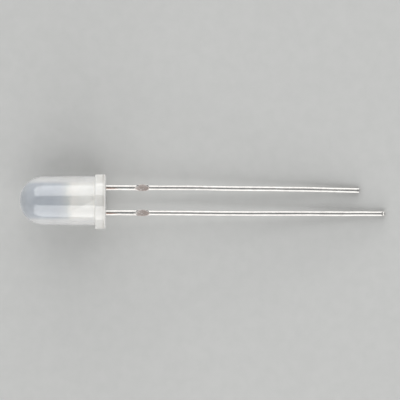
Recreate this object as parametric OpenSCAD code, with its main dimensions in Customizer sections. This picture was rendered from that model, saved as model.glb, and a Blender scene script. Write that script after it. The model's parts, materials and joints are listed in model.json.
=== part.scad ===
// Through hole light emitting diode with a 5 mm milky lens, lying on its side as it comes to rest.
// A stamped lead frame of two leads carries the chip in a coined reflector cup. Clear resin with a
// white diffuser is cast round its upper end and makes the lens, the barrel and the flange in one.
// Every piece is drawn upright first: the axis of the lens is Z, the seating face of the flange is
// at Z = 0, the dome points up, and the cathode is on the +X side. The module laid_down then puts
// the finished piece in its place, with the centre of the seating face at the origin.

/* [Lens] */
// Height of the lens from the seating face to the top of the dome
lens_h = 8.7; // [7.5:0.1:10.5]
// Diameter of the barrel beside the flange
barrel_d = 5.0; // [4.6:0.1:5.6]
// Length of the parallel stretch of the barrel, which a panel clip grips
barrel_land = 2.0; // [1:0.1:2.8]
// How much the diameter narrows from the parallel stretch to the dome
barrel_draft = 0.1; // [0.02:0.02:0.3]

/* [Flange] */
// How far the flange stands out from the barrel
flange_ledge = 0.4; // [0.3:0.05:0.8]
// Thickness of the flange
flange_h = 1.05; // [0.7:0.05:1.5]
// How deep the flat that marks the cathode is cut into the rim
flat_depth = 0.25; // [0.1:0.01:0.28]
// Radius of the rim edge on the seating side
seat_edge_r = 0.15; // [0.05:0.01:0.25]
// Radius of the rim edge on the shoulder side
shoulder_edge_r = 0.08; // [0.03:0.01:0.15]

/* [Leads] */
// Distance between the centre lines of the two leads
lead_pitch = 2.54; // [2.3:0.01:2.8]
// Width of a lead across the sheet that it is stamped from
lead_w = 0.5; // [0.4:0.01:0.6]
// Thickness of the sheet
sheet_t = 0.5; // [0.4:0.01:0.6]
// Radius of the long edges of a lead, rounded by its coat of tin
lead_edge_r = 0.17; // [0.05:0.01:0.18]
// Length of the anode lead below the seating face
anode_len = 28.2; // [24:0.1:32]
// Length of the cathode lead below the seating face
cathode_len = 25.6; // [22:0.1:30]

/* [Slight bow in the cathode lead] */
// Distance from the seating face to the point where the lead starts to bow
bow_start = 8; // [5:0.1:12]
// How far the end of the lead leans towards the anode
bow_in = 0.2; // [0.05:0.01:0.4]

/* [Cut tie bar] */
// Distance from the seating face to the stump of the tie bar
stump_start = 3.0; // [2:0.05:4]
// Length of the stump along the lead
stump_len = 1.45; // [1:0.05:1.8]
// Width of the stump across the lead
stump_w = 0.66; // [0.62:0.01:0.9]
// Length of the slope at each end of the stump
stump_slope = 0.12; // [0.05:0.01:0.3]

/* [Lead frame inside the lens] */
// Height of the rim of the reflector cup over the seating face
cup_rim_h = 3.7; // [3.3:0.05:4.2]
// How far the shoulder of the anvil lies below the rim of the cup
anvil_drop = 0.2; // [0.1:0.01:0.3]
// How far the anvil reaches past the axis, towards the anode
anvil_reach = 0.62; // [0.5:0.01:0.75]
// Height at which the slanted underside of the anvil starts from its lead
anvil_foot_h = 1.92; // [1.6:0.01:2.2]
// Slope of the cut that parts the anvil from the post
cut_slope = 27; // [20:1:32]
// Width of that cut
cut_w = 0.3; // [0.2:0.01:0.35]
// How far the nose of the post runs under the anvil
nose_reach = 0.5; // [0.3:0.01:0.7]

/* [Reflector cup] */
// Diameter of the cup at its rim
cup_d = 1.0; // [0.85:0.01:1.1]
// Diameter of the floor of the cup
cup_floor_d = 0.6; // [0.5:0.01:0.7]
// Depth of the cup
cup_depth = 0.35; // [0.28:0.01:0.4]
// Thickness of the wall of the cup at its rim
cup_wall = 0.12; // [0.08:0.01:0.16]
// Height of the swaged collar round the cup
collar_h = 0.55; // [0.5:0.01:0.7]

/* [Chip and bond wire] */
// Width of the square chip
die_w = 0.3; // [0.2:0.01:0.32]
// Height of the chip
die_h = 0.2; // [0.1:0.01:0.22]
// Thickness of the silver glue under the chip
glue_t = 0.03; // [0.02:0.005:0.05]
// How far the glue spreads past the corners of the chip
glue_spread = 0.01; // [0.005:0.005:0.02]
// Diameter of the bond wire
wire_d = 0.03; // [0.02:0.005:0.04]
// Diameter of the pressed ball and of the stitch at the ends of the wire
bond_d = 0.09; // [0.07:0.01:0.12]
// Height of the pressed ball and of the stitch
bond_h = 0.03; // [0.03:0.005:0.05]
// Radius of the turn that the wire makes above the chip
wire_turn_r = 0.18; // [0.1:0.01:0.2]
// Slope at which the wire runs down from the turn to the post, in whole degrees
wire_slope = 24; // [22:1:28]

/* [Hidden] */
$fn = 96;

lens_tint = "#D6DBE0";
tin_tint = "#D9D8D4";
chip_tint = "#8E9AA0";
glue_tint = "#B8BBBE";
gold_tint = "#D9B45A";

barrel_r = barrel_d / 2;
dome_r = barrel_r - barrel_draft / 2;
dome_h = lens_h - dome_r;
land_h = flange_h + barrel_land;
flange_r = barrel_r + flange_ledge;
flat_x = flange_r - flat_depth;

lead_x = lead_pitch / 2;
bow_len = cathode_len - bow_start;
bow_r = (bow_len * bow_len + bow_in * bow_in) / (2 * bow_in);
bow_angle = 2 * atan(bow_in / bow_len);

anvil_top_h = cup_rim_h - anvil_drop;
cup_floor_h = cup_rim_h - cup_depth;
collar_r = cup_d / 2 + cup_wall;
collar_foot_r = sheet_t / 2;
glue_r = die_w / sqrt(2) + glue_spread;
die_top_h = cup_floor_h + glue_t + die_h;
post_inner_x = -anvil_reach - cut_w;
overlap = 0.01;
spare = 1;

// The three things that touch the table are the rim of the flange and the lowest corner of each
// lead's end. With the dome raised by tilt and the cathode side lowered by roll, each of the two
// functions gives a depth below the axis, measured across it, as the table sees it.
function rim_depth(tilt) = flange_r - seat_edge_r + seat_edge_r * (1 / cos(tilt) - tan(tilt));
function corner_depth(roll) =
    lead_edge_r
    + (lead_w / 2 - lead_edge_r) * abs(sin(roll))
    + (sheet_t / 2 - lead_edge_r) * cos(roll);

// The end of the cathode lead gives the tilt, and the step between the two ends gives the roll.
// The two depend on each other a little, so they are worked out in turn until they agree.
function settled(tilt, roll, rounds) =
    rounds == 0 ? [tilt, roll] :
    let (
        cathode_tip_x = lead_x - bow_in,
        depth = corner_depth(roll) + cathode_tip_x * sin(roll),
        slope = (rim_depth(tilt) - depth) / cathode_len,
        sine = (anode_len - cathode_len) * slope / (cathode_tip_x + lead_x)
    )
    settled(atan(slope), asin(sine), rounds - 1);

settled_pose = settled(5, 5, 12);
rest_tilt = settled_pose[0];
rest_roll = settled_pose[1];

// Lays an upright piece down on the flange and the two lead ends, leads towards +X, cathode on +Y
module laid_down() {
    rotate([0, rest_tilt, 0])
        rotate([-rest_roll, 0, 0])
            rotate([-90, 0, 90])
                children();
}

// Gives a flat outline in the plane of the sheet the thickness of the sheet
module sheet_metal() {
    translate([0, sheet_t / 2, 0])
        rotate([90, 0, 0])
            linear_extrude(sheet_t)
                children();
}

// Cross-section of a lead, with its rounded edges
module lead_section() {
    inner_w = lead_w - 2 * lead_edge_r;
    inner_t = sheet_t - 2 * lead_edge_r;
    square([lead_w, inner_t], center = true);
    square([inner_w, sheet_t], center = true);
    for (side_x = [-1, 1], side_y = [-1, 1])
        translate([side_x * inner_w / 2, side_y * inner_t / 2])
            circle(lead_edge_r, $fn = 48);
}

// Stretch of lead that ends at the height top and is length long
module lead_stretch(length, top) {
    translate([0, 0, top - length])
        linear_extrude(length)
            lead_section();
}

// Flat stump that is left where the bar between the two leads was cut away
module stump() {
    half_w = stump_w / 2;
    lead_half_w = lead_w / 2;
    top = -stump_start;
    end = top - stump_len;
    sheet_metal()
        polygon([
            [lead_half_w, top],
            [half_w, top - stump_slope],
            [half_w, end + stump_slope],
            [lead_half_w, end],
            [-lead_half_w, end],
            [-half_w, end + stump_slope],
            [-half_w, top - stump_slope],
            [-lead_half_w, top]
        ]);
}

// Straight leg of the anode
module anode_leg() {
    translate([-lead_x, 0, 0]) {
        lead_stretch(anode_len, 0);
        stump();
    }
}

// Leg of the cathode: straight at first, then on a wide arc that leans towards the anode
module cathode_leg() {
    translate([lead_x, 0, 0]) {
        lead_stretch(bow_start, 0);
        stump();
        translate([-bow_r, 0, -bow_start])
            rotate([90, 0, 0])
                rotate_extrude(angle = -bow_angle, $fn = 2000)
                    translate([bow_r, 0])
                        lead_section();
    }
}

// Outline of the cathode inside the lens: its lead, and the anvil that reaches over the axis
module anvil_outline() {
    inner_x = lead_x - lead_w / 2;
    outer_x = lead_x + lead_w / 2;
    rise = (inner_x + anvil_reach) * tan(cut_slope);
    polygon([
        [inner_x, 0],
        [outer_x, 0],
        [outer_x, anvil_top_h],
        [-anvil_reach, anvil_top_h],
        [-anvil_reach, anvil_foot_h + rise],
        [inner_x, anvil_foot_h]
    ]);
}

// Outline of the anode inside the lens: its lead, and the post whose nose runs under the anvil
module post_outline() {
    inner_x = -lead_x + lead_w / 2;
    outer_x = -lead_x - lead_w / 2;
    anvil_inner_x = lead_x - lead_w / 2;
    cut_drop = cut_w / cos(cut_slope);
    shoulder_h = anvil_foot_h + (anvil_inner_x - post_inner_x) * tan(cut_slope) - cut_drop;
    nose_x = post_inner_x + nose_reach;
    nose_h = shoulder_h - nose_reach * tan(cut_slope);
    web_foot_h = nose_h - (nose_x - inner_x);
    polygon([
        [outer_x, 0],
        [inner_x, 0],
        [inner_x, web_foot_h],
        [nose_x, nose_h],
        [post_inner_x, shoulder_h],
        [post_inner_x, anvil_top_h],
        [outer_x, anvil_top_h]
    ]);
}

// Collar swaged from the sheet round the cup, still without its hollow
module cup_collar() {
    translate([0, 0, cup_rim_h - collar_h])
        cylinder(h = collar_h, r1 = collar_foot_r, r2 = collar_r);
}

// Hollow of the cup
module cup_hollow() {
    flare = (cup_d - cup_floor_d) / 2 / cup_depth;
    translate([0, 0, cup_floor_h])
        cylinder(
            h = cup_depth + overlap,
            r1 = cup_floor_d / 2,
            r2 = cup_d / 2 + flare * overlap
        );
}

module cathode_form() {
    cathode_leg();
    difference() {
        union() {
            sheet_metal() anvil_outline();
            cup_collar();
        }
        cup_hollow();
    }
}

module anode_form() {
    anode_leg();
    sheet_metal() post_outline();
}

module die_form() {
    translate([-die_w / 2, -die_w / 2, cup_floor_h + glue_t])
        cube([die_w, die_w, die_h]);
}

module glue_form() {
    translate([0, 0, cup_floor_h])
        cylinder(h = glue_t, r = glue_r);
}

// Gold wire: a ball pressed on the chip, a straight rise, a turn, and a straight run down to the
// stitch on top of the post. The rise is as high as the slope of the run needs.
module wire_form() {
    wire_r = wire_d / 2;
    turn_x = -wire_turn_r;
    turned = 90 + wire_slope;
    stitch_h = anvil_top_h + bond_h * 2 / 3;
    ball_top_h = die_top_h + bond_h;
    run = (lead_x - wire_turn_r * (1 + sin(wire_slope))) / cos(wire_slope);
    turn_h = stitch_h + run * sin(wire_slope) - wire_turn_r * cos(wire_slope);
    translate([0, 0, die_top_h])
        cylinder(h = bond_h, d = bond_d);
    translate([0, 0, ball_top_h])
        cylinder(h = turn_h - ball_top_h, r = wire_r);
    translate([turn_x, 0, turn_h]) {
        rotate([90, 0, 0])
            rotate_extrude(angle = turned)
                translate([wire_turn_r, 0])
                    circle(wire_r);
        rotate([0, -turned, 0])
            translate([wire_turn_r, 0, 0])
                cylinder(h = run, r = wire_r);
    }
    translate([-lead_x, 0, anvil_top_h])
        cylinder(h = bond_h, d = bond_d);
}

// Half section of the barrel and the dome, to be turned round the axis
module barrel_half_section() {
    polygon([
        [0, flange_h / 2],
        [barrel_r, flange_h / 2],
        [barrel_r, land_h],
        [dome_r, dome_h],
        [0, dome_h]
    ]);
    intersection() {
        translate([0, dome_h])
            circle(dome_r);
        translate([0, dome_h])
            square(dome_r);
    }
}

// Half section of the flange, with its two rounded rim edges
module flange_half_section() {
    square([flange_r - seat_edge_r, flange_h / 2]);
    translate([0, flange_h / 2])
        square([flange_r - shoulder_edge_r, flange_h / 2]);
    translate([0, seat_edge_r])
        square([flange_r, flange_h - seat_edge_r - shoulder_edge_r]);
    translate([flange_r - seat_edge_r, seat_edge_r])
        circle(seat_edge_r);
    translate([flange_r - shoulder_edge_r, flange_h - shoulder_edge_r])
        circle(shoulder_edge_r);
}

module flange_form() {
    difference() {
        rotate_extrude() flange_half_section();
        translate([flat_x, -flange_r - spare, -spare])
            cube([flange_r, 2 * (flange_r + spare), flange_h + 2 * spare]);
    }
}

// The casting encloses the upper ends of both leads, the chip, its glue and the wire
module lens_form() {
    difference() {
        union() {
            rotate_extrude() barrel_half_section();
            flange_form();
        }
        cathode_form();
        anode_form();
        glue_form();
        die_form();
        wire_form();
    }
}

module epoxy_body() {
    color(lens_tint) laid_down() lens_form();
}

module cathode_lead() {
    color(tin_tint) laid_down() cathode_form();
}

module anode_lead() {
    color(tin_tint) laid_down() anode_form();
}

module led_die() {
    color(chip_tint) laid_down() die_form();
}

module die_attach() {
    color(glue_tint) laid_down() glue_form();
}

module bond_wire() {
    color(gold_tint) laid_down() wire_form();
}

epoxy_body();
cathode_lead();
anode_lead();
led_die();
die_attach();
bond_wire();
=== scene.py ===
import json

import bpy
import numpy as np
from mathutils import Matrix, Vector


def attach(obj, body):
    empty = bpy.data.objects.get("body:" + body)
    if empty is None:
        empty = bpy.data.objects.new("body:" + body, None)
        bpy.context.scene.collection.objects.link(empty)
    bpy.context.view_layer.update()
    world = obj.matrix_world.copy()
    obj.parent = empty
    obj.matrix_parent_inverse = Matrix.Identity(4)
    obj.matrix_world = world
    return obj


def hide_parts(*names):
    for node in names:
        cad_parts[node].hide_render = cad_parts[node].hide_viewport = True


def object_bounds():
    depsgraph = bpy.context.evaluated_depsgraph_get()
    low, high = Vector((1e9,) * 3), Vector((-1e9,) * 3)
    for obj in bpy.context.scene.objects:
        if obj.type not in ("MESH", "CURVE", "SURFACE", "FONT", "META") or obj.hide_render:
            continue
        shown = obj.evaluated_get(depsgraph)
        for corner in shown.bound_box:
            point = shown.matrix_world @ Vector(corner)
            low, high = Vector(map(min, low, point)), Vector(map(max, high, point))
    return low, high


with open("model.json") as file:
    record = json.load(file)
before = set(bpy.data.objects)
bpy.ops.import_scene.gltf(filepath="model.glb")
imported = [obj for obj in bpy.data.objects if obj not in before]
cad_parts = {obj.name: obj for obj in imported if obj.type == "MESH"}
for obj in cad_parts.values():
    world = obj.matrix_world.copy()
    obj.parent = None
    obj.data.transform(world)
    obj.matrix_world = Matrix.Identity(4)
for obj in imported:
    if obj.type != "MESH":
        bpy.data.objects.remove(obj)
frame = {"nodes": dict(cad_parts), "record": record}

cad_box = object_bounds()

MM = 0.001

# The part of a lead in millimetres that counts as its tip

TIP_LEN = 0.2


def node_points(name):
    """The vertices of a CAD node as rows of x, y, z in metres, in the row frame."""
    mesh = frame["nodes"][name].data
    flat = np.empty(len(mesh.vertices) * 3)
    mesh.vertices.foreach_get("co", flat)
    return flat.reshape(-1, 3)


def upright_axes():
    """The lens's own axes as the rows of a matrix: x towards the cathode, y across the sheet that
    the leads are stamped from, z out of the dome. z is the seating face's axis turned round, and
    x points away from the end of the anode lead, square to z."""
    mounts = {m["name"]: m for m in frame["record"]["mounts"]}
    z = -np.array(mounts["seating_face"]["axis"], float)
    z /= np.linalg.norm(z)
    points = node_points("anode_lead")
    depth = points @ z
    tip = points[depth < depth.min() + TIP_LEN * MM].mean(0)
    x = -(tip - (tip @ z) * z)
    x /= np.linalg.norm(x)
    return np.array([x, np.cross(z, x), z])


AXES = upright_axes()


def upright(name):
    """A node's vertices in the lens's own axes, in millimetres."""
    return node_points(name) @ AXES.T / MM


# Sizes in millimetres, in the lens's own axes. The casting stays a hair inside its solid.

lens_points = upright("epoxy_body")
cathode_points = upright("cathode_lead")
anode_points = upright("anode_lead")

INSIDE = 0.002
LENS_H = lens_points[:, 2].max() - INSIDE
FLANGE_R = -lens_points[:, 0].min() - INSIDE
FLAT_X = lens_points[:, 0].max()
FLANGE_H = 1.05
LEDGE_W = 0.4
BARREL_R = FLANGE_R - LEDGE_W
LAND_H = 3.05
DRAFT = 0.05
DOME_R = BARREL_R - DRAFT
DOME_H = LENS_H - DOME_R
SEAT_EDGE_R = 0.15
SHOULDER_EDGE_R = 0.08
FOOT_R = 0.06

LEAD_X = 1.27
LEAD_HALF = 0.25
LEAD_EDGE_R = 0.17
ANODE_END = -anode_points[:, 2].min()
CATHODE_END = -cathode_points[:, 2].min()
BOW_START = 8.0
cathode_tip = cathode_points[cathode_points[:, 2] < -CATHODE_END + TIP_LEN]
BOW_IN = LEAD_X - cathode_tip[:, 0].mean()
STUMP_START = 3.0
STUMP_LEN = 1.45
STUMP_HALF_W = 0.33
STUMP_SLOPE = 0.28

CUP_RIM_H = 3.7
CUP_FLOOR_H = 3.35
CUP_R = 0.5
CUP_FLOOR_R = 0.3
COLLAR_R = 0.62
COLLAR_FOOT_R = 0.25
COLLAR_H = 0.55
ANVIL_TOP_H = 3.5
ANVIL_REACH = 0.62
ANVIL_FOOT_H = 1.92
CUT_SLOPE = np.radians(27)
CUT_W = 0.3
NOSE_REACH = 0.5
FRAME_FOOT_H = 0.02
NOTCH_GAP = 0.02
NOTCH_FLOOR_GAP = 0.03

# Fine detail in millimetres, most of which the plain solids leave out

BASE_HOLLOW = 0.05
HOLLOW_R = 2.2
HOLLOW_EDGE_R = 2.74
BASE_WANDER = 0.004
SKIRT_H = 0.1
SKIRT_REACH = 0.07
STILL_R = 2.0
FLAT_BLEND = 0.006
LEAD_ROOT = 0.3
LEAD_LEAN = 0.05
LEAD_WIDER = 0.02
LEAD_WANDER_X = 0.008
LEAD_WANDER_Y = 0.006
HALF_W_WANDER = 0.003
HALF_T_WANDER = 0.002
RING_STEP = 0.12
BROKEN_EDGE = 0.02
NICK_FROM_END = 0.14
NICK_HALF_W = 0.12
NICK_HALF_LEN = 0.11
PLATE_BEVEL = 0.035

# Meshes


def in_row_frame(points):
    """Points in the lens's own axes, in millimetres, as metres in the row frame."""
    return points @ AXES * MM


def make_piece(name, points, faces, smooth_below):
    """A closed mesh from points in the lens's own axes, in millimetres, and faces as index rows.

    The faces are turned round if the volume that they enclose comes out negative.
    Edges that bend by more than smooth_below degrees are drawn sharp."""
    mesh = bpy.data.meshes.new(name)
    mesh.from_pydata(in_row_frame(points).tolist(), [], faces)
    mesh.update()
    mesh.calc_loop_triangles()
    corners = np.empty(len(mesh.loop_triangles) * 3, np.int32)
    mesh.loop_triangles.foreach_get("vertices", corners)
    a, b, c = np.moveaxis(points[corners.reshape(-1, 3)], 1, 0)
    if np.einsum("ij,ij->i", a, np.cross(b, c)).sum() * np.linalg.det(AXES) < 0:
        mesh.flip_normals()
    mesh.polygons.foreach_set("use_smooth", np.ones(len(mesh.polygons), bool))
    mesh.set_sharp_from_angle(angle=np.radians(smooth_below))
    mesh.update()
    piece = bpy.data.objects.new(name, mesh)
    bpy.context.scene.collection.objects.link(piece)
    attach(piece, "root")
    return piece


def ring_faces(rings, around):
    """Faces of a tube of rings points round and a pole at each end, as lists of indices. Point
    number ring * around + k is the tube's, and the two poles come last."""
    k = np.arange(around)
    after = (k + 1) % around
    ring = np.arange(rings - 1)[:, None] * around
    quads = np.stack([ring + k, ring + after, ring + around + after, ring + around + k], -1)
    first, last = rings * around, rings * around + 1
    top = (rings - 1) * around
    fan_a = np.stack([np.full(around, first), after, k], -1)
    fan_b = np.stack([np.full(around, last), top + k, top + after], -1)
    return quads.reshape(-1, 4).tolist() + fan_a.tolist() + fan_b.tolist()


def smooth_step(value, low, high):
    """0 below low, 1 above high, and an S-shaped rise in between."""
    t = np.clip((value - low) / (high - low), 0, 1)
    return t * t * (3 - 2 * t)


def wander(along, seed, shortest, longest):
    """A smooth random line of about unit size: a sum of nine sine waves with random phases, whose
    lengths run from longest to shortest and whose heights fall with their length."""
    count = 9
    draw = np.random.default_rng(seed)
    lengths = np.geomspace(longest, shortest, count)
    phases = draw.uniform(0, 2 * np.pi, count)
    heights = draw.uniform(0.5, 1, count) * (lengths / longest) ** 0.8
    waves = np.sin(2 * np.pi * np.asarray(along)[..., None] / lengths + phases)
    return (waves * heights).sum(-1) / np.sqrt((heights**2).sum())


def arc(centre_r, centre_z, radius, start, end, count):
    """count points of a circle's arc in the half plane of r and z, angles in degrees."""
    angle = np.radians(np.linspace(start, end, count))
    return np.stack([centre_r + radius * np.cos(angle), centre_z + radius * np.sin(angle)], -1)


def line(start, end, count):
    """count points of a straight line, without its first point."""
    return np.linspace(start, end, count + 1)[1:]


def lens_profile():
    """The lens's outline as rows of r and z: base, seat edge, flange, shoulder, the small hollow
    corner at its foot, the parallel land, the drafted barrel and the quarter circle of the dome.
    Also, for each row, how far it moves with the flat on the flange: 0 on the barrel and within
    the base's still radius, and 1 at the flange's edge."""
    # the base's rings are close together where the leads come out
    base_r = np.r_[
        np.linspace(0.06, 0.72, 7), np.linspace(0.76, 1.8, 40), np.linspace(1.88, 2.7, 13)
    ]
    base = np.stack([base_r, np.zeros_like(base_r)], -1)
    seat = arc(FLANGE_R - SEAT_EDGE_R, SEAT_EDGE_R, SEAT_EDGE_R, -90, 0, 10)
    wall = line(seat[-1], (FLANGE_R, FLANGE_H - SHOULDER_EDGE_R), 5)
    edge_r = FLANGE_R - SHOULDER_EDGE_R
    shoulder = arc(edge_r, FLANGE_H - SHOULDER_EDGE_R, SHOULDER_EDGE_R, 9, 90, 9)
    ledge = line((edge_r, FLANGE_H), (BARREL_R + FOOT_R, FLANGE_H), 5)
    foot = arc(BARREL_R + FOOT_R, FLANGE_H + FOOT_R, FOOT_R, 255, 180, 6)
    land = line(foot[-1], (BARREL_R, LAND_H), 10)
    barrel = line(land[-1], (DOME_R, DOME_H), 18)
    dome = arc(0, DOME_H, DOME_R, 0, 88.5, 46)[1:]
    below = np.concatenate([base, seat])
    above = np.concatenate([wall, shoulder, ledge])
    plain = np.concatenate([foot, land, barrel, dome])
    with_flat = np.concatenate(
        [
            np.clip((below[:, 0] - STILL_R) / (FLANGE_R - SEAT_EDGE_R - STILL_R), 0, 1),
            np.clip((above[:, 0] - BARREL_R - FOOT_R) / (edge_r - BARREL_R - FOOT_R), 0, 1),
            np.zeros(len(plain)),
        ]
    )
    return np.concatenate([below, above, plain]), with_flat


def base_height(x, y):
    """How far the open side of the casting lies above the seating plane: it shrank a little away
    from the rim, and it climbed up each lead as a thin skirt that dies away within 0.2 mm."""
    r = np.hypot(x, y)
    height = BASE_HOLLOW * (1 - smooth_step(r, HOLLOW_R, HOLLOW_EDGE_R))
    height = height + BASE_WANDER * wander(x + 1.7 * y, seed=5, shortest=0.6, longest=4)
    for lead_x in (-LEAD_X, LEAD_X):
        inner = LEAD_HALF - LEAD_EDGE_R
        over_x = np.maximum(np.abs(x - lead_x) - inner, 0)
        over_y = np.maximum(np.abs(y) - inner, 0)
        gap = np.maximum(np.hypot(over_x, over_y) - LEAD_EDGE_R, 0)
        height = height - SKIRT_H * np.exp(-gap / SKIRT_REACH)
    rim = FLANGE_R - 0.1
    return height * smooth_step(rim - r, 0, 0.12)


def make_lens():
    """The casting's outer skin: the profile turned round the axis. The flange's radius is the
    smaller of its own and the flat's distance over the cosine of the angle, softly blended."""
    around = 384
    profile, with_flat = lens_profile()
    turn = np.arange(around) / around * 2 * np.pi
    to_flat = FLAT_X / np.maximum(np.cos(turn), 0.1)
    nearer = np.minimum(FLANGE_R, to_flat)
    farther = np.minimum(np.maximum(FLANGE_R, to_flat), nearer + 1)
    flange = nearer - FLAT_BLEND * np.log1p(np.exp(-(farther - nearer) / FLAT_BLEND))
    radius = profile[:, :1] - (FLANGE_R - flange) * with_flat[:, None]
    x, y = radius * np.cos(turn), radius * np.sin(turn)
    z = np.broadcast_to(profile[:, 1:], x.shape).copy()
    base_rows = profile[:, 1] == 0
    z[base_rows] = base_height(x[base_rows], y[base_rows])
    poles = np.array([[0, 0, z[0].mean()], [0, 0, LENS_H]])
    points = np.concatenate([np.stack([x, y, z], -1).reshape(-1, 3), poles])
    lens = make_piece("lens", points, ring_faces(*x.shape), smooth_below=50)
    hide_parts("epoxy_body")
    return lens


def crowned_quarter():
    """A quarter of the lead's cross-section for half widths of 1, from the top round to the side.

    The slope of the face grows from 0 in the middle to 14.5 degrees at 0.4 of the way out, to 18
    degrees at 0.8 and to 45 degrees on the corner, and its sum gives the height. Below that, the
    side lies at 1 less 0.07 times the eighth power of the height as a share of the corner's."""
    across = np.r_[0, 0.08, 0.16, 0.24, 0.36, 0.48, 0.6, 0.72, 0.8, 0.84, 0.88, 0.91, 0.93]
    rise = np.tan(np.interp(across, [0, 0.4, 0.8, 0.93], np.radians([0, 14.5, 18, 45])))
    height = 1 - np.r_[0, np.cumsum((rise[1:] + rise[:-1]) / 2 * np.diff(across))]
    share = np.r_[0.97, 0.93, 0.88, 0.82, 0.74, 0.64, 0.52, 0.4, 0.28, 0.18, 0.08, 0]
    side = 1 - (1 - across[-1]) * share**8
    return np.r_[across, side], np.r_[height, share * height[-1]]


def lead_section(half_w, half_t, squared):
    """Rows of the cross-section's outline, one for each height along the lead: the crowned
    quarter mirrored into all four, and drawn towards a sharp rectangle by squared, 0 to 1."""
    quarter_u, quarter_v = crowned_quarter()
    largest = np.maximum(quarter_u, quarter_v)
    square = 0.97
    square_u, square_v = quarter_u / largest * square, quarter_v / largest * square
    share = np.asarray(squared, float)[:, None]
    u = quarter_u + (square_u - quarter_u) * share
    v = quarter_v + (square_v - quarter_v) * share
    round_u = np.concatenate([u, u[:, -2::-1], -u[:, 1:], -u[:, -2:0:-1]], 1)
    round_v = np.concatenate([v, -v[:, -2::-1], -v[:, 1:], v[:, -2:0:-1]], 1)
    return round_u * np.asarray(half_w)[:, None], round_v * np.asarray(half_t)[:, None]


def lead_heights(end):
    """Heights of the rings down a lead, from its root in the casting: evenly spaced, and packed
    together at the stump's slopes and at the cut end."""
    stump_end = STUMP_START + STUMP_LEN
    margin = 0.02
    last_part, last_ring = end - 0.4, end - 0.015
    fine = np.r_[
        np.linspace(STUMP_START - margin, STUMP_START + STUMP_SLOPE + margin, 9),
        np.linspace(stump_end - STUMP_SLOPE - margin, stump_end + margin, 9),
    ]
    coarse = np.r_[
        np.arange(-LEAD_ROOT, last_part, RING_STEP), np.linspace(last_part, last_ring, 14)
    ]
    depth = np.unique(np.round(np.r_[fine, coarse], 4))
    return -depth


def make_lead(name, lead_x, end, bow, nick, seed):
    """One stamped lead outside the lens: the crowned square carried along the lead's centre line,
    with the squared stump of the cut tie bar, and a cut end with a narrow broken edge.

    The centre line is straight, and past bow start its place is the bow's height times the square
    of the share of the way to the end. It also wanders by a few micrometres. Both leads
    stand 0.05 mm to the cathode's side at the lens, and are 0.04 mm wider up to the stump. The
    nick, of the depth given, is the bell-shaped dent that the cutter left close to the end.
    Returns the lead, and for each of its faces 0 for the skin or 1 for the cut end."""
    z = lead_heights(end)
    depth = -z
    share = np.clip((depth - BOW_START) / (end - BOW_START), 0, 1)
    outside = smooth_step(depth, 0.3, 2.0)
    stump_end = STUMP_START + STUMP_LEN
    wider = LEAD_WIDER * (1 - smooth_step(depth, STUMP_START, stump_end))
    leaning = LEAD_LEAN * (1 - smooth_step(depth, 1, 16))
    sideways = LEAD_WANDER_X * wander(depth, seed, shortest=2.5, longest=17) * outside
    centre_x = lead_x - bow * share**2 + sideways + leaning
    centre_y = LEAD_WANDER_Y * wander(depth, seed + 1, shortest=3, longest=19) * outside
    in_stump = np.minimum(
        np.clip((depth - STUMP_START) / STUMP_SLOPE, 0, 1),
        np.clip((stump_end - depth) / STUMP_SLOPE, 0, 1),
    )
    half_w = LEAD_HALF + wider
    half_w = half_w + (STUMP_HALF_W - half_w) * in_stump
    half_w = half_w + HALF_W_WANDER * wander(depth, seed + 2, shortest=0.9, longest=7) * outside
    thicker = HALF_T_WANDER * wander(depth, seed + 3, shortest=1.1, longest=6) * outside
    half_t = LEAD_HALF + thicker
    u, v = lead_section(half_w, half_t, 0.9 * smooth_step(in_stump, 0.1, 0.9))
    from_nick = np.hypot(
        u / NICK_HALF_W, (depth - end + NICK_FROM_END)[:, None] / NICK_HALF_LEN
    )
    v = np.where(v < 0, v + nick * np.exp(-(from_nick**2)), v)
    x = centre_x[:, None] + u
    y = centre_y[:, None] + v
    height = np.broadcast_to(z[:, None], u.shape)
    # the last ring is drawn in by the broken edge of the cut, and the middle is a little hollow
    drawn_in = 1 - BROKEN_EDGE / LEAD_HALF
    rim_z, middle_z = -end + 0.001, -end + 0.004
    end_x = centre_x[-1] + u[-1] * drawn_in
    end_y = centre_y[-1] + v[-1] * drawn_in
    x = np.concatenate([x, end_x[None]])
    y = np.concatenate([y, end_y[None]])
    height = np.concatenate([height, np.full_like(end_x, rim_z)[None]])
    poles = np.array([[centre_x[0], centre_y[0], z[0]], [end_x.mean(), end_y.mean(), middle_z]])
    points = np.concatenate([np.stack([x, y, height], -1).reshape(-1, 3), poles])
    rings, around = x.shape
    lead = make_piece(name, points, ring_faces(rings, around), smooth_below=40)
    face_is = np.zeros((rings + 1) * around, np.int32)
    face_is[-around:] = 1
    return lead, face_is


def make_plate(name, outline):
    """A flat stamping inside the lens: the outline in the plane of x and z, given the sheet's
    thickness, with its edges broken by a bevel."""
    outline = np.array(outline, float)
    count = len(outline)
    front = np.stack([outline[:, 0], np.full(count, LEAD_HALF), outline[:, 1]], -1)
    back = front * [1, -1, 1]
    k = np.arange(count)
    after = (k + 1) % count
    walls = np.stack([k, after, after + count, k + count], -1).tolist()
    faces = walls + [k[::-1].tolist(), (k + count).tolist()]
    points = np.concatenate([front, back])
    plate = make_piece(name, points, faces, smooth_below=40)
    bevel = plate.modifiers.new("broken_edges", "BEVEL")
    bevel.width = PLATE_BEVEL * MM
    bevel.segments = 2
    bevel.limit_method = "ANGLE"
    bevel.angle_limit = np.radians(40)
    return plate


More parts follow.
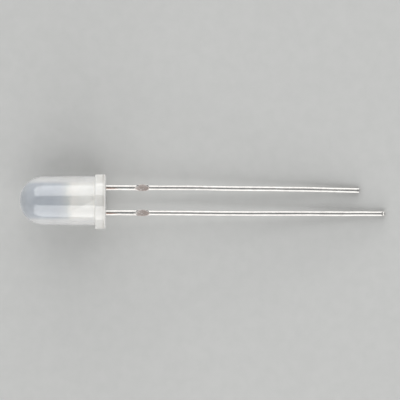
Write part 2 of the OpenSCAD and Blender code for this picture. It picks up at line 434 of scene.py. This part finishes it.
def make_cup():
    """The reflector cup: a cone swaged outwards from the sheet, a rounded rim, the flared hollow
    and its floor, turned round the lens's axis."""
    around = 96
    inner_r = 0.1
    edge = 0.02
    foot_h = CUP_RIM_H - COLLAR_H
    rim_half = (COLLAR_R - CUP_R) / 2
    outline = np.concatenate(
        [
            [[inner_r, foot_h], [COLLAR_FOOT_R - edge, foot_h]],
            line((COLLAR_FOOT_R, foot_h + edge / 2), (COLLAR_R, CUP_RIM_H - rim_half), 10),
            arc(CUP_R + rim_half, CUP_RIM_H - rim_half, rim_half, 15, 165, 9),
            line((CUP_R, CUP_RIM_H - rim_half), (CUP_FLOOR_R, CUP_FLOOR_H + edge), 8),
            [[CUP_FLOOR_R - edge, CUP_FLOOR_H], [inner_r, CUP_FLOOR_H]],
        ]
    )
    turn = np.arange(around) / around * 2 * np.pi
    x = outline[:, :1] * np.cos(turn)
    y = outline[:, :1] * np.sin(turn)
    z = np.broadcast_to(outline[:, 1:], x.shape)
    poles = np.array([[0, 0, foot_h], [0, 0, CUP_FLOOR_H]])
    points = np.concatenate([np.stack([x, y, z], -1).reshape(-1, 3), poles])
    faces = ring_faces(*x.shape)
    return make_piece("reflector_cup", points, faces, smooth_below=40)


def anvil_outline():
    """The cathode's stamping in the lens, with the notch that the cup sits in."""
    inner_x, outer_x = LEAD_X - LEAD_HALF, LEAD_X + LEAD_HALF
    rise = (inner_x + ANVIL_REACH) * np.tan(CUT_SLOPE)
    return [
        (inner_x, FRAME_FOOT_H),
        (outer_x, FRAME_FOOT_H),
        (outer_x, ANVIL_TOP_H),
        (CUP_R + NOTCH_GAP, ANVIL_TOP_H),
        (CUP_FLOOR_R + NOTCH_FLOOR_GAP, CUP_FLOOR_H - NOTCH_GAP),
        (-CUP_FLOOR_R - NOTCH_FLOOR_GAP, CUP_FLOOR_H - NOTCH_GAP),
        (-CUP_R - NOTCH_GAP, ANVIL_TOP_H),
        (-ANVIL_REACH, ANVIL_TOP_H),
        (-ANVIL_REACH, ANVIL_FOOT_H + rise),
        (inner_x, ANVIL_FOOT_H),
    ]


def post_outline():
    """The anode's stamping in the lens, with the nose that runs under the anvil."""
    inner_x, outer_x = -LEAD_X + LEAD_HALF, -LEAD_X - LEAD_HALF
    post_inner_x = -ANVIL_REACH - CUT_W
    slope = np.tan(CUT_SLOPE)
    shoulder_h = (
        ANVIL_FOOT_H + (LEAD_X - LEAD_HALF - post_inner_x) * slope - CUT_W / np.cos(CUT_SLOPE)
    )
    nose_x = post_inner_x + NOSE_REACH
    nose_h = shoulder_h - NOSE_REACH * slope
    return [
        (outer_x, FRAME_FOOT_H),
        (inner_x, FRAME_FOOT_H),
        (inner_x, nose_h - (nose_x - inner_x)),
        (nose_x, nose_h),
        (post_inner_x, shoulder_h),
        (post_inner_x, ANVIL_TOP_H),
        (outer_x, ANVIL_TOP_H),
    ]


# Colours and materials


def linear(text):
    """An sRGB hex colour as linear red, green, blue and 1."""
    values = np.array([int(text[k : k + 2], 16) for k in (1, 3, 5)]) / 255
    linear_values = np.where(values <= 0.04045, values / 12.92, ((values + 0.055) / 1.055) ** 2.4)
    return (*linear_values.tolist(), 1.0)


def add_node(tree, kind, inputs=None, steps=None, **settings):
    """Adds a node with its settings, and sets or links its inputs by name or number. A node given
    as an input stands for its first output. steps are a colour ramp's pairs of place and colour."""
    made = tree.nodes.new(kind)
    for name, value in settings.items():
        setattr(made, name, value)
    for socket, value in (inputs or {}).items():
        if isinstance(value, bpy.types.Node):
            value = value.outputs[0]
        if isinstance(value, bpy.types.NodeSocket):
            tree.links.new(value, made.inputs[socket])
        else:
            made.inputs[socket].default_value = value
    for number, (place, colour) in enumerate(steps or []):
        elements = made.color_ramp.elements
        element = elements[number] if number < 2 else elements.new(place)
        element.position = place
        element.color = linear(colour)
    return made


def new_material(name):
    """An empty node material. Returns it, its node tree, and Object coordinates turned into the
    lens's own axes, in millimetres, so that a pattern's scale is a count of features a mm."""
    material = bpy.data.materials.new(name)
    material.use_nodes = True
    tree = material.node_tree
    tree.nodes.clear()
    place = add_node(tree, "ShaderNodeTexCoord").outputs["Object"]
    turn = Matrix(AXES.tolist()).to_euler("XYZ")
    where = add_node(
        tree, "ShaderNodeMapping", {"Vector": place, "Rotation": turn, "Scale": (1 / MM,) * 3}
    )
    return material, tree, where


def finish_material(tree, inputs):
    """Leads a Principled shader with these inputs to the material's output."""
    shader = add_node(tree, "ShaderNodeBsdfPrincipled", inputs)
    add_node(tree, "ShaderNodeOutputMaterial", {"Surface": shader})


def milky_epoxy():
    """Cast epoxy with a white diffuser stirred in: glossy from the mould, and milky, a little blue
    in the depth of the dome, warmer and paler where the bright lead frame lies under the skin.

    The diffuser blurs the frame, so the place where that change begins wanders with clouds about
    1 mm across. The frame is a flat sheet, and beyond its two edges the barrel's sides are drawn
    one even pale grey: painted light, for the glow of the rims where the side lamps shine through."""
    material, tree, where = new_material("milky_epoxy_cast")
    parts = add_node(tree, "ShaderNodeSeparateXYZ", {"Vector": where}).outputs
    cloud = add_node(tree, "ShaderNodeTexNoise", {"Vector": where, "Scale": 0.9, "Detail": 3.0})
    # the clouds average 0.5 and so add 0.7 mm, which both ends of the range allow for
    height = add_node(
        tree, "ShaderNodeMath", {0: cloud, 1: 1.4, 2: parts["Z"]}, operation="MULTIPLY_ADD"
    )
    share = add_node(
        tree, "ShaderNodeMapRange", {"Value": height, "From Min": 0.7, "From Max": LENS_H + 0.7}
    )
    # the palest step, at the seating face, is painted light on the base and the seat edge, which
    # turn away from the lamps
    depth_tint_and_base_light = add_node(
        tree,
        "ShaderNodeValToRGB",
        {"Fac": share},
        steps=[
            (0.0, "#DFDDD9"),
            (0.03, "#D4D2CE"),
            (0.11, "#D8D7D3"),
            (0.14, "#D9D8D4"),
            (0.28, "#D9D8D4"),
            (0.385, "#D8D6D1"),
            (0.45, "#BBBDBE"),
            (0.53, "#AFB3B8"),
            (0.6, "#ACB1B7"),
            (0.85, "#ABB0B6"),
            (1.0, "#ABB0B6"),
        ],
    )
    # painted shade: a faint darker ring, 0.2 mm wide, just above the seating face, for the darker
    # reflection along the rounded seat edge
    seat_painted_shade = add_node(
        tree,
        "ShaderNodeValToRGB",
        {"Fac": parts["Z"]},
        steps=[(0.07, "#FFFFFF"), (0.14, "#E6E5E3"), (0.22, "#E8E7E5"), (0.38, "#FFFFFF")],
    )
    off_axis = add_node(tree, "ShaderNodeMath", {0: parts["X"]}, operation="ABSOLUTE")
    between_leads = add_node(
        tree,
        "ShaderNodeMapRange",
        {"Value": off_axis, "From Min": 1.1, "From Max": 0.5},
        interpolation_type="SMOOTHSTEP",
    )
    # painted light: beyond the frame's edges the barrel's sides are drawn one even pale grey, for
    # the glow of the rims where the side lamps shine through the resin
    rim_glow_share = add_node(
        tree,
        "ShaderNodeMapRange",
        {"Value": off_axis, "From Min": 1.6, "From Max": 2.05, "To Max": 0.88},
        interpolation_type="SMOOTHSTEP",
    )
    above_flange = add_node(
        tree,
        "ShaderNodeMapRange",
        {"Value": parts["Z"], "From Min": FLANGE_H, "From Max": FLANGE_H + 0.1},
    )
    painted_rim_glow = add_node(
        tree, "ShaderNodeMath", {0: rim_glow_share, 1: above_flange}, operation="MULTIPLY"
    )
    # the post passes some light on into a wedge between the leads, on its own side of a slant
    slant_down = add_node(
        tree, "ShaderNodeMath", {0: parts["Z"], 1: 0.5, 2: parts["X"]}, operation="MULTIPLY_ADD"
    )
    below_slant = add_node(
        tree,
        "ShaderNodeMapRange",
        {"Value": slant_down, "From Min": 0.74, "From Max": 0.5},
        interpolation_type="SMOOTHSTEP",
    )
    wedge = add_node(
        tree, "ShaderNodeMath", {0: below_slant, 1: between_leads}, operation="MULTIPLY"
    )
    barrel_wedge = add_node(
        tree, "ShaderNodeMath", {0: wedge, 1: above_flange}, operation="MULTIPLY"
    )
    lit_tint = add_node(
        tree,
        "ShaderNodeMix",
        {0: barrel_wedge, 6: depth_tint_and_base_light, 7: linear("#5C5C59")},
        data_type="RGBA",
        blend_type="ADD",
    )
    tint_with_rim_glow = add_node(
        tree,
        "ShaderNodeMix",
        {0: painted_rim_glow, 6: lit_tint.outputs[2], 7: linear("#CCCBCA")},
        data_type="RGBA",
    )
    cloud_tint = add_node(
        tree, "ShaderNodeValToRGB", {"Fac": cloud}, steps=[(0.3, "#F6F6F6"), (0.7, "#FFFFFF")]
    )
    clouded = add_node(
        tree,
        "ShaderNodeMix",
        {0: 1.0, 6: tint_with_rim_glow.outputs[2], 7: cloud_tint},
        data_type="RGBA",
        blend_type="MULTIPLY",
    )
    with_seat_shade = add_node(
        tree,
        "ShaderNodeMix",
        {0: 1.0, 6: clouded.outputs[2], 7: seat_painted_shade},
        data_type="RGBA",
        blend_type="MULTIPLY",
    )
    # light that the flange passes on makes up for the shade in the corner at the barrel's foot
    foot_height = add_node(
        tree, "ShaderNodeMath", {0: parts["Z"], 1: FLANGE_H}, operation="SUBTRACT"
    )
    foot_glow = add_node(
        tree,
        "ShaderNodeValToRGB",
        {"Fac": foot_height},
        steps=[(0.0, "#000000"), (0.02, "#686866"), (0.12, "#585856"), (0.24, "#000000")],
    )
    colour = add_node(
        tree,
        "ShaderNodeMix",
        {0: 1.0, 6: with_seat_shade.outputs[2], 7: foot_glow},
        data_type="RGBA",
        blend_type="ADD",
    )
    # the mould's polish: waves about 1.5 mm long and a few micrometres high
    ripple = add_node(tree, "ShaderNodeTexNoise", {"Vector": where, "Scale": 0.7, "Detail": 1.0})
    bump = add_node(
        tree, "ShaderNodeBump", {"Height": ripple, "Strength": 0.3, "Distance": 0.02 * MM}
    )
    finish_material(
        tree,
        {
            "Base Color": colour.outputs[2],
            "Roughness": 0.04,
            "IOR": 1.55,
            "Specular IOR Level": 1.0,
            "Transmission Weight": 0.14,
            "Subsurface Weight": 0.5,
            "Subsurface Radius": (1.0, 0.95, 0.9),
            "Subsurface Scale": 0.9 * MM,
            "Coat Weight": 1.0,
            "Coat Roughness": 0.02,
            "Coat IOR": 1.55,
            "Sheen Weight": 0.25,
            "Sheen Roughness": 0.4,
            "Normal": bump,
            "Coat Normal": bump,
        },
    )
    return material


def tinned_steel():
    """Stamped steel with a bright tin coat: a mirror that fine drawing lines blur along the lead.
    For about 1 mm from the lens the coat is thin in the middle of the faces, and browner.

    Where the tie bar was cut off, the coat is scraped away and the steel is dull, pinkish grey
    and torn, with small glints. That patch reaches half the stump's length up and down, with a
    ragged edge, and less far for points off the lead's centre line, so that it ends in a point."""
    material, tree, where = new_material("tinned_steel_stamped")
    parts = add_node(tree, "ShaderNodeSeparateXYZ", {"Vector": where}).outputs
    # drawing lines 0.1 mm apart and 3 mm long, blotches of 0.6 mm, torn grain of 0.1 mm
    along = add_node(tree, "ShaderNodeMapping", {"Vector": where, "Scale": (9.0, 9.0, 0.35)})
    lines = add_node(tree, "ShaderNodeTexNoise", {"Vector": along, "Scale": 1.0, "Detail": 4.0})
    blotch = add_node(tree, "ShaderNodeTexNoise", {"Vector": where, "Scale": 1.6, "Detail": 3.0})
    grain = add_node(tree, "ShaderNodeTexNoise", {"Vector": where, "Scale": 10.0, "Detail": 5.0})
    stump_middle = STUMP_START + STUMP_LEN / 2
    below = add_node(tree, "ShaderNodeMath", {0: parts["Z"], 1: stump_middle}, operation="ADD")
    from_middle = add_node(tree, "ShaderNodeMath", {0: below}, operation="ABSOLUTE")
    off_axis = add_node(tree, "ShaderNodeMath", {0: parts["X"]}, operation="ABSOLUTE")
    beside = add_node(tree, "ShaderNodeMath", {0: off_axis, 1: LEAD_X}, operation="SUBTRACT")
    off_line = add_node(tree, "ShaderNodeMath", {0: beside}, operation="ABSOLUTE")
    pointed = add_node(
        tree, "ShaderNodeMath", {0: off_line, 1: 1.6, 2: from_middle}, operation="MULTIPLY_ADD"
    )
    ragged = add_node(
        tree, "ShaderNodeMath", {0: grain, 1: 0.5, 2: pointed}, operation="MULTIPLY_ADD"
    )
    reach = STUMP_LEN / 2 + 0.25
    patch = add_node(
        tree,
        "ShaderNodeMapRange",
        {"Value": ragged, "From Min": reach + 0.12, "From Max": reach},
        interpolation_type="SMOOTHSTEP",
    )
    tin = add_node(
        tree, "ShaderNodeValToRGB", {"Fac": blotch}, steps=[(0.3, "#CAC7C3"), (0.7, "#D6D4D0")]
    )
    near_lens = add_node(
        tree,
        "ShaderNodeMapRange",
        {"Value": parts["Z"], "From Min": -1.5, "From Max": -0.5},
        interpolation_type="SMOOTHSTEP",
    )
    mid_face = add_node(
        tree,
        "ShaderNodeMapRange",
        {"Value": off_line, "From Min": 0.12, "From Max": 0.04},
        interpolation_type="SMOOTHSTEP",
    )
    thin_coat = add_node(
        tree, "ShaderNodeMath", {0: near_lens, 1: mid_face}, operation="MULTIPLY"
    )
    bright = add_node(
        tree, "ShaderNodeMix", {0: thin_coat, 6: tin, 7: linear("#BEA598")}, data_type="RGBA"
    )
    # painted shade: the torn steel is drawn a little darker towards the far end of the stump, for
    # the shade on its far slope
    grain_and_painted_shade = add_node(
        tree, "ShaderNodeMath", {0: below, 1: 0.12, 2: grain}, operation="MULTIPLY_ADD"
    )
    torn = add_node(
        tree,
        "ShaderNodeValToRGB",
        {"Fac": grain_and_painted_shade},
        steps=[(0.32, "#A79B95"), (0.5, "#BAAEA8"), (0.6, "#C6BCB7"), (0.68, "#F4F1EE")],
    )
    colour = add_node(
        tree, "ShaderNodeMix", {0: patch, 6: bright.outputs[2], 7: torn}, data_type="RGBA"
    )
    mirror = add_node(
        tree,
        "ShaderNodeMapRange",
        {"Value": lines, "From Min": 0.3, "From Max": 0.7, "To Min": 0.12, "To Max": 0.24},
    )
    dull = add_node(
        tree,
        "ShaderNodeMapRange",
        {"Value": grain, "From Min": 0.35, "From Max": 0.7, "To Min": 0.6, "To Max": 0.28},
    )
    rough = add_node(tree, "ShaderNodeMix", {0: patch, 2: mirror, 3: dull})
    drawn = add_node(
        tree, "ShaderNodeBump", {"Height": lines, "Strength": 0.2, "Distance": 0.006 * MM}
    )
    relief = add_node(tree, "ShaderNodeMath", {0: grain, 1: patch}, operation="MULTIPLY")
    bump = add_node(
        tree, "ShaderNodeBump", {"Height": relief, "Distance": 0.03 * MM, "Normal": drawn}
    )
    finish_material(
        tree,
        {"Base Color": colour.outputs[2], "Metallic": 1.0, "Roughness": rough, "Normal": bump},
    )
    return material


def sheared_steel():
    """The cut end of a lead: bare steel, rubbed bright by the blade on one side and torn grey on
    the other, with fine streaks along the cut."""
    material, tree, where = new_material("steel_sheared")
    # streaks 0.05 mm wide
    streaks = add_node(tree, "ShaderNodeMapping", {"Vector": where, "Scale": (21.0, 4.5, 9.0)})
    grain = add_node(tree, "ShaderNodeTexNoise", {"Vector": streaks, "Scale": 1.0, "Detail": 4.0})
    colour = add_node(
        tree,
        "ShaderNodeValToRGB",
        {"Fac": grain},
        steps=[(0.3, "#7E7876"), (0.6, "#A8A2A0"), (0.75, "#D8D4D2")],
    )
    rough = add_node(
        tree,
        "ShaderNodeMapRange",
        {"Value": grain, "From Min": 0.3, "From Max": 0.75, "To Min": 0.55, "To Max": 0.25},
    )
    bump = add_node(
        tree, "ShaderNodeBump", {"Height": grain, "Strength": 0.6, "Distance": 0.02 * MM}
    )
    finish_material(
        tree, {"Base Color": colour, "Metallic": 1.0, "Roughness": rough, "Normal": bump}
    )
    return material


def speckled(name, steps, scale, metallic, roughness):
    """A fine-grained solid for a small piece inside the lens, with scale grains a millimetre."""
    material, tree, where = new_material(name)
    grain = add_node(tree, "ShaderNodeTexNoise", {"Vector": where, "Scale": scale, "Detail": 3.0})
    colour = add_node(tree, "ShaderNodeValToRGB", {"Fac": grain}, steps=steps)
    bump = add_node(
        tree, "ShaderNodeBump", {"Height": grain, "Strength": 0.2, "Distance": 0.003 * MM}
    )
    finish_material(
        tree,
        {"Base Color": colour, "Metallic": metallic, "Roughness": roughness, "Normal": bump},
    )
    return material


def pale_floor():
    """Matt pale card with a very faint fibre, about 1 mm long."""
    material, tree, where = new_material("pale_card")
    fibre = add_node(tree, "ShaderNodeTexNoise", {"Vector": where, "Scale": 0.9, "Detail": 3.0})
    colour = add_node(
        tree, "ShaderNodeValToRGB", {"Fac": fibre}, steps=[(0.3, "#B4B4B2"), (0.7, "#B7B7B5")]
    )
    finish_material(tree, {"Base Color": colour, "Roughness": 0.9, "Specular IOR Level": 0.2})
    return material


def dress_lead(lead, face_is):
    """Gives a lead its two finishes: bright tin, and sheared steel on the faces of the cut end."""
    lead.data.materials.append(tin)
    lead.data.materials.append(sheared)
    lead.data.polygons.foreach_set("material_index", face_is)
    lead.data.update()


# The dressed part

epoxy = milky_epoxy()
tin = tinned_steel()
sheared = sheared_steel()

lens = make_lens()
lens.data.materials.append(epoxy)

anode_leg, anode_finish = make_lead(
    "anode_leg", -LEAD_X, ANODE_END, bow=0.0, nick=0.14, seed=11
)
cathode_leg, cathode_finish = make_lead(
    "cathode_leg", LEAD_X, CATHODE_END, bow=BOW_IN, nick=0.01, seed=47
)
dress_lead(anode_leg, anode_finish)
dress_lead(cathode_leg, cathode_finish)
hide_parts("anode_lead")
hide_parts("cathode_lead")

anvil = make_plate("anvil", anvil_outline())
post = make_plate("post", post_outline())
cup = make_cup()
for piece in (anvil, post, cup):
    piece.data.materials.append(tin)

FINISHES = {
    "led_die": speckled("semiconductor_sawn", [(0.3, "#5E6A72"), (0.7, "#8FA0A8")], 14, 0.2, 0.3),
    "die_attach": speckled("silver_glue_cured", [(0.3, "#8F9092"), (0.7, "#C9CACB")], 30, 0.7, 0.5),
    "bond_wire": speckled("gold_wire_drawn", [(0.3, "#C79A3C"), (0.7, "#E4BD62")], 25, 1.0, 0.2),
}
for name, material in FINISHES.items():
    node = frame["nodes"][name]
    if not node.material_slots:
        node.data.materials.append(material)
    for slot in node.material_slots:
        slot.material = material

# The floor, the lamps and the camera. Distances and lengths are in metres.

FLOOR_Z = cad_box[0].z
FLOOR_HALF = 3.0
floor_mesh = bpy.data.meshes.new("floor")
floor_mesh.from_pydata(
    [
        (-FLOOR_HALF, -FLOOR_HALF, FLOOR_Z),
        (FLOOR_HALF, -FLOOR_HALF, FLOOR_Z),
        (FLOOR_HALF, FLOOR_HALF, FLOOR_Z),
        (-FLOOR_HALF, FLOOR_HALF, FLOOR_Z),
    ],
    [],
    [(0, 1, 2, 3)],
)
floor = bpy.data.objects.new("floor", floor_mesh)
bpy.context.scene.collection.objects.link(floor)
floor.data.materials.append(pale_floor())


def placed(right, up, back, point):
    """The matrix of an object whose own axes point to the right, up and back."""
    return Matrix((*[(*axis, 0) for axis in (right, up, back)], (*point, 1))).transposed()


def soft_box(name, top, foot, half_length, watts, glossy=True):
    """A broad soft lamp beside the object, whose length runs along the lens's axis. top and foot
    are the middles of its upper and lower edge, in metres from the origin, in the row frame."""
    data = bpy.data.lights.new(name, "AREA")
    data.shape = "RECTANGLE"
    data.size = 2 * half_length
    data.size_y = np.linalg.norm(top - foot)
    data.energy = watts
    lamp = bpy.data.objects.new(name, data)
    bpy.context.scene.collection.objects.link(lamp)
    along = -AXES[2] / np.linalg.norm(AXES[2])
    rise = (top - foot) / np.linalg.norm(top - foot)
    face = np.cross(along, rise)
    middle = (top + foot) / 2
    if face @ middle < 0:
        along, face = -along, -face
    lamp.matrix_world = placed(along, rise, face, middle)
    lamp.visible_camera = False
    lamp.visible_glossy = glossy
    lamp.visible_transmission = glossy


def from_view(side, degrees, distance):
    """A point at an angle from the view's own axis: on the cathode's side, or on the anode's with
    a side of -1."""
    angle = np.radians(degrees)
    return distance * (side * np.sin(angle) * AXES[0] - np.cos(angle) * AXES[1])


def over_floor(side, degrees, distance):
    """A point at an angle above the horizontal: on the cathode's side, or on the anode's with a
    side of -1."""
    level = np.array([AXES[0][0], AXES[0][1], 0])
    level /= np.linalg.norm(level)
    angle = np.radians(degrees)
    return distance * (side * np.cos(angle) * level + np.array([0, 0, np.sin(angle)]))


# Each side's main lamp and low fill: side, name, degrees from the view's axis down to the main
# lamp's lower edge, its watts and the fill's watts.

LAMP_PAIRS = ((1, "cathode_side", 75, 0.92, 0.85), (-1, "anode_side", 82, 1.04, 0.75))
MAIN_TOP_DEGREES = 23
MAIN_TOP_DISTANCE = 0.345
MAIN_FOOT_DISTANCE = 0.43
MAIN_HALF_LENGTH = 0.31
FILL_TOP_DEGREES = 16
FILL_FOOT_DEGREES = 2
FILL_DISTANCE = 0.4
FILL_HALF_LENGTH = 0.2

for side, where, lowest, watts, fill_watts in LAMP_PAIRS:
    top = from_view(side, MAIN_TOP_DEGREES, MAIN_TOP_DISTANCE)
    foot = from_view(side, lowest, MAIN_FOOT_DISTANCE)
    soft_box("soft_box_" + where, top, foot, MAIN_HALF_LENGTH, watts)
    top = over_floor(side, FILL_TOP_DEGREES, FILL_DISTANCE)
    foot = over_floor(side, FILL_FOOT_DEGREES, FILL_DISTANCE)
    soft_box("low_fill_" + where, top, foot, FILL_HALF_LENGTH, fill_watts, glossy=False)

# The room's light is even from the sides and from below, and darker overhead.

world = bpy.data.worlds.new("studio")
bpy.context.scene.world = world
world.use_nodes = True
world.node_tree.nodes.clear()
sky_tree = world.node_tree
direction = add_node(sky_tree, "ShaderNodeTexCoord").outputs["Generated"]
up = add_node(sky_tree, "ShaderNodeSeparateXYZ", {"Vector": direction}).outputs["Z"]
sky = add_node(
    sky_tree,
    "ShaderNodeValToRGB",
    {"Fac": up},
    steps=[(0.0, "#DADBDC"), (0.3, "#D0D1D2"), (0.8, "#9A9C9E")],
)
background = add_node(sky_tree, "ShaderNodeBackground", {"Color": sky})
add_node(sky_tree, "ShaderNodeOutputWorld", {"Surface": background})

# The camera looks square onto the lens's axis. The view's width and centre are in millimetres.

VIEW_WIDTH = 40.4
VIEW_CENTRE = (0.085, -9.53)
CAMERA_DISTANCE = 0.8
ROLL = np.radians(0.1)
camera_data = bpy.data.cameras.new("camera")
camera_data.lens = camera_data.sensor_width * CAMERA_DISTANCE / (VIEW_WIDTH * MM)
camera_data.clip_start, camera_data.clip_end = 0.05, 10
camera = bpy.data.objects.new("camera", camera_data)
bpy.context.scene.collection.objects.link(camera)
view_right = -np.cos(ROLL) * AXES[2] + np.sin(ROLL) * AXES[0]
view_up = np.sin(ROLL) * AXES[2] + np.cos(ROLL) * AXES[0]
view_point = (VIEW_CENTRE[0] * AXES[0] + VIEW_CENTRE[1] * AXES[2]) * MM
camera.matrix_world = placed(
    view_right, view_up, -AXES[1], view_point - CAMERA_DISTANCE * AXES[1]
)
bpy.context.scene.camera = camera
bpy.context.scene.view_settings.view_transform = "Standard"
